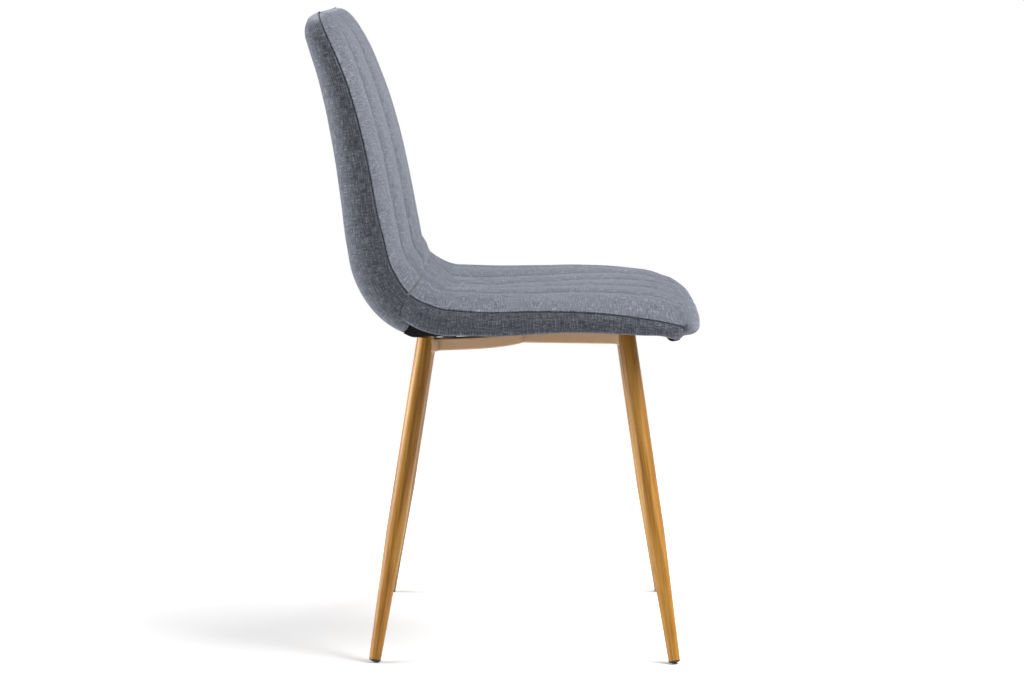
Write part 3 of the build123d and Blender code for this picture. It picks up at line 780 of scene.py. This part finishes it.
def underside(x, s):
    # the board's underside as the cloth follows it: flat, then rising by bevelSlope to its edge. The
    # rise is less in the bend, and there is none where the cloth hangs level.
    rise = under["bevelSlope"] * (np.abs(x) - under["bevelStart"])
    rise = np.clip(rise - np.maximum(s, 0) ** 2 / (2 * shell["bendRadius"]), 0, None)
    return rise * (1 - frontShare(s))


def underCloth():
    # along the underside, a quarter round at the board's edge, then up the edge to the side fabric
    rows = bunched(under["rows"], under["rowBunch"])[:, None]
    s = under["front"] + (under["back"] - under["front"]) * rows
    sag = under["sag"] * frontShare(s)
    hem = smoothStep((s - under["hemStart"]) / under["hemRun"])
    drop = under["drop"] + sag + (under["rearDrop"] - under["drop"]) * hem
    q = under["edgeRound"]
    bite = np.clip(under["front"] + under["frontCorner"] - s, 0, under["frontCorner"])
    corner = under["frontCorner"] - np.sqrt(under["frontCorner"] ** 2 - bite ** 2)
    side = shell["boardHalf"] + under["boardGap"] - corner + under["hemWide"] * hem
    flat = underside(side - q, s) - drop
    climb = np.where(sag < under["leastSag"], np.maximum(stripLow(s) + under["climb"], flat + q), flat + q)
    up = np.linspace(1, 0, under["edgeSteps"] + 1)[None, :-1]
    bow = np.linspace(0, math.pi / 2, under["roundSteps"] + 1)[None, :]
    middle = np.linspace(1, -1, under["flatSteps"] + 1)[None, 1:-1]
    edgeX = np.concatenate([side + 0 * up, side - q * (1 - np.cos(bow))], axis=1)
    edgeD = np.concatenate([flat + q + up * (climb - flat - q), flat + q * (1 - np.sin(bow))], axis=1)
    midX = (side - q) * middle
    midD = underside(midX, s) - drop
    x = np.concatenate([edgeX, midX, -edgeX[:, ::-1]], axis=1)
    d = np.concatenate([edgeD, midD, edgeD[:, ::-1]], axis=1)
    slack = under["waviness"] * (0.5 + 0.5 * unevenness(3 * x, 3 * s, 5.0))
    d = d - slack * np.clip(1 - (x / side) ** 2, 0, 1)
    y, z = shellPoint(s, d)
    return x, y, z, (runLength(x, d, along=1), s + 0 * x)


clothGrid = underCloth()
dustCloth = makeGrid("dust_cloth", *clothGrid)
thicken(dustCloth, under["thickness"])


# shader maths: a wrapped socket takes Python's operators, and Finish.node adds any other node

class Value:
    def __init__(self, finish, socket):
        self.finish = finish
        self.socket = socket

    def work(self, operation, a, b):
        return self.finish.node("ShaderNodeMath", {"operation": operation}, {0: a, 1: b})

    def __add__(self, other):
        return self.work("ADD", self, other)

    def __radd__(self, other):
        return self.work("ADD", other, self)

    def __mul__(self, other):
        return self.work("MULTIPLY", self, other)

    def __rmul__(self, other):
        return self.work("MULTIPLY", other, self)

    def sine(self):
        return self.work("SINE", self, 0.0)


class Finish:
    def __init__(self, name, **fixed):
        self.material = bpy.data.materials.new(name)
        self.material.use_nodes = True
        self.tree = self.material.node_tree
        self.shader = self.tree.nodes["Principled BSDF"]
        for key, value in fixed.items():
            self.shader.inputs[key.replace("_", " ")].default_value = value

    def node(self, kind, settings=None, sockets=None, out=0):
        made = self.tree.nodes.new(kind)
        for key, value in (settings or {}).items():
            if key == "stops":
                self.setStops(made.color_ramp, value)
            else:
                setattr(made, key, value)
        for key, value in (sockets or {}).items():
            self.plug(made.inputs[key], value)
        return Value(self, made.outputs[out])

    def plug(self, socket, value):
        if isinstance(value, Value):
            self.tree.links.new(value.socket, socket)
        else:
            socket.default_value = value

    def setStops(self, ramp, stops):
        while len(ramp.elements) < len(stops):
            ramp.elements.new(0.5)
        for element, (place, colour) in zip(ramp.elements, stops):
            element.position = place
            element.color = (*colour, 1)

    def feed(self, **links):
        for key, value in links.items():
            self.plug(self.shader.inputs[key.replace("_", " ")], value)

    def mixColour(self, share, a, b):
        # the node's colour sockets are its seventh and eighth, and its colour comes out third
        return self.node("ShaderNodeMix", {"data_type": "RGBA"}, {"Factor": share, 6: a, 7: b}, out=2)

    def place(self, kind="Object"):
        return self.node("ShaderNodeTexCoord", out=kind)

    def noise(self, where, scale, detail=2.0, rough=0.5):
        return self.node("ShaderNodeTexNoise", {"noise_dimensions": "3D"},
                         {"Vector": where, "Scale": scale, "Detail": detail, "Roughness": rough})

    def bump(self, strength, distance, height):
        return self.node("ShaderNodeBump", None,
                         {"Strength": strength, "Distance": distance, "Height": height})

    def stretched(self, where, scale, turn=(0, 0, 0)):
        return self.node("ShaderNodeMapping", None, {"Vector": where, "Scale": scale, "Rotation": turn})


def heatherFabric():
    # two yarns, each with slubs along its own direction, over and under in a plain weave; painted shade
    # along seams and stitched lines
    f = Finish("heather_fabric", Roughness=0.92, Sheen_Weight=0.45, Sheen_Roughness=0.5,
               Sheen_Tint=(0.86, 0.91, 1.0, 1), Specular_IOR_Level=0.15)
    uv = f.place("UV")
    warp = f.noise(f.stretched(uv, (1000, 120, 1)), 1.0, 2.0, 0.6)
    weft = f.noise(f.stretched(uv, (70, 820, 1)), 1.0, 2.0, 0.6)
    slub = f.noise(f.stretched(uv, (340, 30, 1)), 1.0, 2.0, 0.6)
    fluff = f.noise(uv, 1300.0, 2.0)
    yarn = warp * 0.29 + weft * 0.33 + slub * 0.12 + fluff * 0.26
    colour = f.node("ShaderNodeValToRGB", {"stops": [
        (0.38, (0.012, 0.013, 0.018)),
        (0.46, (0.056, 0.060, 0.077)),
        (0.54, (0.130, 0.139, 0.168)),
        (0.63, (0.330, 0.347, 0.392)),
    ]}, {"Fac": yarn})
    # painted shade: the point attribute mixes near-black into the colour along seams and stitched lines
    fold = f.node("ShaderNodeAttribute", {"attribute_name": "fold"}, out="Fac")
    colour = f.mixColour(fold * 0.9, colour, (0.012, 0.013, 0.017, 1))
    split = f.node("ShaderNodeSeparateXYZ", None, {"Vector": uv})
    other = Value(f, split.socket.node.outputs[1])
    yarnStep = 0.0011
    pitch = 2 * math.pi / yarnStep
    weave = (split * pitch).sine() * (other * pitch).sine()
    height = weave * 0.5 + yarn * 1.4
    bump = f.bump(0.55, 0.0006, height)
    f.feed(Base_Color=colour, Normal=bump)
    return f.material


def sewingThread():
    # specks of lighter and darker ply
    f = Finish("sewing_thread", Roughness=0.6, Sheen_Weight=0.2)
    here = f.place()
    ply = f.noise(f.stretched(here, (2600, 2600, 2600)), 1.0, 1.0)
    f.feed(Base_Color=f.mixColour(ply, (0.030, 0.034, 0.046, 1), (0.085, 0.094, 0.120, 1)))
    return f.material


def blackCloth():
    f = Finish("dust_cloth", Roughness=0.95, Specular_IOR_Level=0.15)
    uv = f.place("UV")
    fibre = f.noise(uv, 900.0, 3.0, 0.7)
    colour = f.mixColour(fibre, (0.006, 0.006, 0.007, 1), (0.022, 0.022, 0.024, 1))
    bump = f.bump(0.5, 0.0004, fibre)
    f.feed(Base_Color=colour, Normal=bump)
    return f.material


def oakFilm(name, foot, top):
    # grain drawn along the leg: broad and fine noise, both squeezed across it
    f = Finish(name, Roughness=0.42, Specular_IOR_Level=0.3, Coat_Weight=0.10, Coat_Roughness=0.2)
    axis = np.array(top) - np.array(foot)
    upright = (math.asin(axis[1] / np.linalg.norm(axis)), -math.atan2(axis[0], axis[2]), 0)
    here = f.place()
    alongLeg = f.stretched(here, (1, 1, 1), upright)
    broad = f.noise(f.stretched(alongLeg, (95, 95, 5.5)), 1.0, 3.0, 0.55)
    fine = f.noise(f.stretched(alongLeg, (520, 520, 16)), 1.0, 2.0, 0.6)
    grain = broad * 0.62 + fine * 0.38
    colour = f.node("ShaderNodeValToRGB", {"stops": [
        (0.34, (0.190, 0.072, 0.007)),
        (0.47, (0.340, 0.148, 0.016)),
        (0.56, (0.430, 0.205, 0.031)),
        (0.68, (0.530, 0.285, 0.064)),
    ]}, {"Fac": grain})
    bump = f.bump(0.12, 0.0003, fine)
    f.feed(Base_Color=colour, Normal=bump)
    return f.material


def tanPaint():
    f = Finish("tan_paint", Roughness=0.5, Specular_IOR_Level=0.4)
    here = f.place()
    grit = f.noise(here, 2600.0, 2.0)
    tone = f.noise(here, 38.0, 2.0)
    colour = f.mixColour(tone, (0.600, 0.375, 0.205, 1), (0.690, 0.450, 0.265, 1))
    bump = f.bump(0.25, 0.0002, grit)
    f.feed(Base_Color=colour, Normal=bump)
    return f.material


def blackPlastic():
    f = Finish("black_plastic", Roughness=0.5)
    here = f.place()
    grain = f.noise(here, 1800.0, 2.0)
    colour = f.mixColour(grain, (0.008, 0.008, 0.008, 1), (0.020, 0.020, 0.021, 1))
    bump = f.bump(0.3, 0.0002, grain)
    f.feed(Base_Color=colour, Normal=bump)
    return f.material


def zincSteel():
    f = Finish("zinc_steel", Metallic=1.0)
    here = f.place()
    blotch = f.noise(here, 420.0, 3.0)
    colour = f.mixColour(blotch, (0.50, 0.51, 0.53, 1), (0.66, 0.67, 0.68, 1))
    f.feed(Base_Color=colour, Roughness=0.28 + 0.2 * blotch)
    return f.material


def plywood():
    # grain drawn out from front to back
    f = Finish("plywood", Roughness=0.7)
    here = f.place()
    grain = f.noise(f.stretched(here, (240, 12, 240)), 1.0, 3.0)
    colour = f.mixColour(grain, (0.42, 0.27, 0.13, 1), (0.62, 0.44, 0.25, 1))
    f.feed(Base_Color=colour)
    return f.material


fabric = heatherFabric()
blackUnder = blackCloth()
dress(seatPanel, fabric, "heather_fabric", "seat_cover", "seat_foam")
dress(backPanel, fabric, "heather_fabric", "back_cover", "back_foam")
dress(outerBack, fabric, "heather_fabric", "outer_back_cover", "rear_padding")
for name, piece in strips.items():
    dress(piece, fabric, "heather_fabric", "seat_border_" + name)
dress(dustCloth, blackUnder, "dust_cloth", "dust_cover")
yarn = sewingThread()
for piece in (seatThread, backThread):
    dress(piece, yarn, "heather_fabric")
print("covers dressed")


# finishes of the frame, and its welds

legs = {                               # foot and top of each leg's axis, on the right
    "front": ((0.2027, -0.2253, 0.0), (0.0835, -0.1622, 0.4263)),
    "rear": ((0.1984, 0.1795, 0.0), (0.0870, 0.1138, 0.4157)),
}
weld = {
    "frameHeight": 0.420094,           # middle of the rails at y = 0, rising to the front with the seat
    "railWide": 0.0150,
    "railTall": 0.0170,
    "railRound": 0.0024,
    "legRadius": 0.0125,
    "railToe": 0.0075,                 # reach of a weld along the rail
    "legToe": 0.0034,                  # and over the leg
    "lift": 0.0001,                    # it stands this much off the rail
    "cornerStep": 15,                  # degrees
    "steps": 6,
    "towards": {"front": (0.033, -0.016), "rear": (0.080, 0.055)},     # where a leg's rail leads
}


def railOutline(grow):
    # round-cornered rectangle grown outwards: offsets across and up, anticlockwise
    q = weld["railRound"] + grow
    turn = np.radians(np.arange(0, 360, weld["cornerStep"]))
    past = turn + 1e-6                 # so that no point is on the border of two corners
    across = weld["railWide"] / 2 - weld["railRound"]
    up = weld["railTall"] / 2 - weld["railRound"]
    across = across * np.sign(np.cos(past)) + q * np.cos(turn)
    up = up * np.sign(np.sin(past)) + q * np.sin(turn)
    return across, up


def weldFillet(name, top, foot, far):
    # from the rail's sides to the leg's, concave: a quadratic curve with its middle point in the corner
    tilt = shell["tilt"]
    square = np.array([0, math.sin(tilt), math.cos(tilt)])
    run = far[1] - top[1]
    out = np.array([far[0] - top[0], run * math.cos(tilt), -run * math.sin(tilt)])
    out = out / np.linalg.norm(out)
    beside = np.cross(square, out)
    axis = np.array(top) - np.array(foot)
    axis = axis / np.linalg.norm(axis)
    start = np.array([top[0], top[1], weld["frameHeight"] - top[1] * math.tan(tilt)])

    def onLeg(grow):
        # the rail's outline, carried along the rail to where it meets the leg's round
        across, up = railOutline(grow)
        rim = start + across[:, None] * beside + up[:, None] * square
        p = rim - np.array(top)
        p = p - (p @ axis)[:, None] * axis
        o = out - (out @ axis) * axis
        b = p @ o
        c = np.sum(p * p, axis=1) - weld["legRadius"] ** 2
        reach = (-b + np.sqrt(b * b - (o @ o) * c)) / (o @ o)
        return rim + reach[:, None] * out

    corner = onLeg(weld["lift"])
    toe = corner + out * weld["railToe"]
    leg = onLeg(weld["legToe"])
    t = np.linspace(0, 1, weld["steps"])[:, None, None]
    band = (1 - t) ** 2 * toe + 2 * t * (1 - t) * corner + t * t * leg
    return makeGrid(name, *np.moveaxis(band, 2, 0), closedCols=True)


def finishNode(name, material):
    slots = nodes[name].data.materials
    slots.clear()
    slots.append(material)


paint, plastic, steel, board = tanPaint(), blackPlastic(), zincSteel(), plywood()
for end, far in weld["towards"].items():
    for side, hand in ((-1, "left"), (1, "right")):
        name = end + "_" + hand
        foot, top = [(side * p[0], p[1], p[2]) for p in legs[end]]
        finishNode("leg_" + name, oakFilm("oak_" + name, foot, top))
        finishNode("foot_" + name, plastic)
        fillet = weldFillet("weld_" + name, top, foot, (side * far[0], far[1]))
        dress(fillet, paint, "tan_paint")
for name in ("rear_bow", "front_arm_left", "front_arm_right"):
    finishNode(name, paint)
finishNode("seat_spacers", plastic)
for name in ("seat_bolts", "flat_washers", "spring_washers", "tee_nuts"):
    finishNode(name, steel)
finishNode("shell_board", board)
print("frame finished")


# floor, light and camera

studio = {
    "floorHalf": 8.0,
    "floorHeight": -0.0005,
    "nearFloor": 0.9,                  # the lit floor fades to plain white from here
    "farFloor": 2.0,                   # to here
    "fill": 0.11,                      # strength of the world's own light
}
corner = np.array([[-1, 1], [-1, 1]]) * studio["floorHalf"]
floor = makeGrid("floor", corner, corner.T, np.full((2, 2), studio["floorHeight"]), flip=True)


def paleFloor():
    # lit white near the chair, which keeps its shadow, and plain white further off. It throws back
    # less light than it shows.
    f = Finish("pale_floor", Roughness=0.9, Specular_IOR_Level=0.0)
    here = f.place()
    far = f.node("ShaderNodeVectorMath", {"operation": "LENGTH"}, {0: here}, out="Value")
    share = f.node("ShaderNodeMapRange", {"interpolation_type": "SMOOTHSTEP"},
                   {"Value": far, "From Min": studio["nearFloor"], "From Max": studio["farFloor"]})
    rays = f.node("ShaderNodeLightPath").socket.node.outputs
    direct = Value(f, rays["Is Camera Ray"]) + Value(f, rays["Is Glossy Ray"])
    seen = (direct + Value(f, rays["Is Transmission Ray"])) * share
    plain = f.node("ShaderNodeEmission", None, {"Color": (1, 1, 1, 1), "Strength": 1.0})
    lit = Value(f, f.shader.outputs[0])
    f.feed(Base_Color=f.mixColour(direct, (0.66, 0.66, 0.66, 1), (0.94, 0.94, 0.94, 1)))
    both = f.node("ShaderNodeMixShader", None, {0: seen, 1: lit, 2: plain})
    f.plug(f.tree.nodes["Material Output"].inputs["Surface"], both)
    return f.material


floor.data.materials.append(paleFloor())

world = bpy.data.worlds.new("studio")
scene.world = world
world.use_nodes = True
sky = world.node_tree
background = sky.nodes["Background"]
path = sky.nodes.new("ShaderNodeLightPath")
glow = sky.nodes.new("ShaderNodeBackground")
mixed = sky.nodes.new("ShaderNodeMixShader")
background.inputs["Color"].default_value = (0.95, 0.97, 1.0, 1)
background.inputs["Strength"].default_value = studio["fill"]
glow.inputs["Strength"].default_value = 1.0
glow.inputs["Color"].default_value = (1, 1, 1, 1)
rays = path.outputs["Is Camera Ray"]
for kind in ("Is Glossy Ray", "Is Transmission Ray"):
    both = sky.nodes.new("ShaderNodeMath")
    sky.links.new(rays, both.inputs[0])
    sky.links.new(path.outputs[kind], both.inputs[1])
    rays = both.outputs[0]
sky.links.new(rays, mixed.inputs["Fac"])
sky.links.new(background.outputs[0], mixed.inputs[1])
sky.links.new(glow.outputs[0], mixed.inputs[2])
sky.links.new(mixed.outputs[0], sky.nodes["World Output"].inputs["Surface"])

lamps = {                              # place, target, size and power
    "top_box": ((0.4, -1.3, 3.1), (0.0, -0.1, 0.5), 2.4, 106),
    "rear_box": ((0.1, 3.2, 1.4), (0.0, 0.1, 0.5), 2.0, 165),
    "front_box": ((-0.5, -2.2, 2.5), (0.0, -0.2, 0.45), 1.6, 110),
}


def aim(thing, place, target):
    # the local -z axis points at the target, with x level
    away = np.array(place) - np.array(target)
    away = away / np.linalg.norm(away)
    thing.location = place
    thing.rotation_euler = (math.acos(away[2]), 0, math.atan2(away[0], -away[1]))


for name, (place, target, size, power) in lamps.items():
    light = bpy.data.lights.new(name, "AREA")
    light.shape = "SQUARE"
    light.size = size
    light.energy = power
    lamp = bpy.data.objects.new(name, light)
    scene.collection.objects.link(lamp)
    aim(lamp, place, target)

view = {
    "place": (-3.600, -0.0295, 0.9434),
    "down": 0.1461,                    # radians below level
    "yaw": 0.0069,                     # and from the x axis
    "lens": 91.28,
}
camData = bpy.data.cameras.new("camera")
camData.lens = view["lens"]
camData.sensor_width = 36
cam = bpy.data.objects.new("camera", camData)
scene.collection.objects.link(cam)
ahead = (math.cos(view["down"]) * math.cos(view["yaw"]), math.cos(view["down"]) * math.sin(view["yaw"]),
         -math.sin(view["down"]))
aim(cam, view["place"], tuple(p + a for p, a in zip(view["place"], ahead)))
scene.camera = cam
scene.view_settings.view_transform = "Standard"
print("studio")
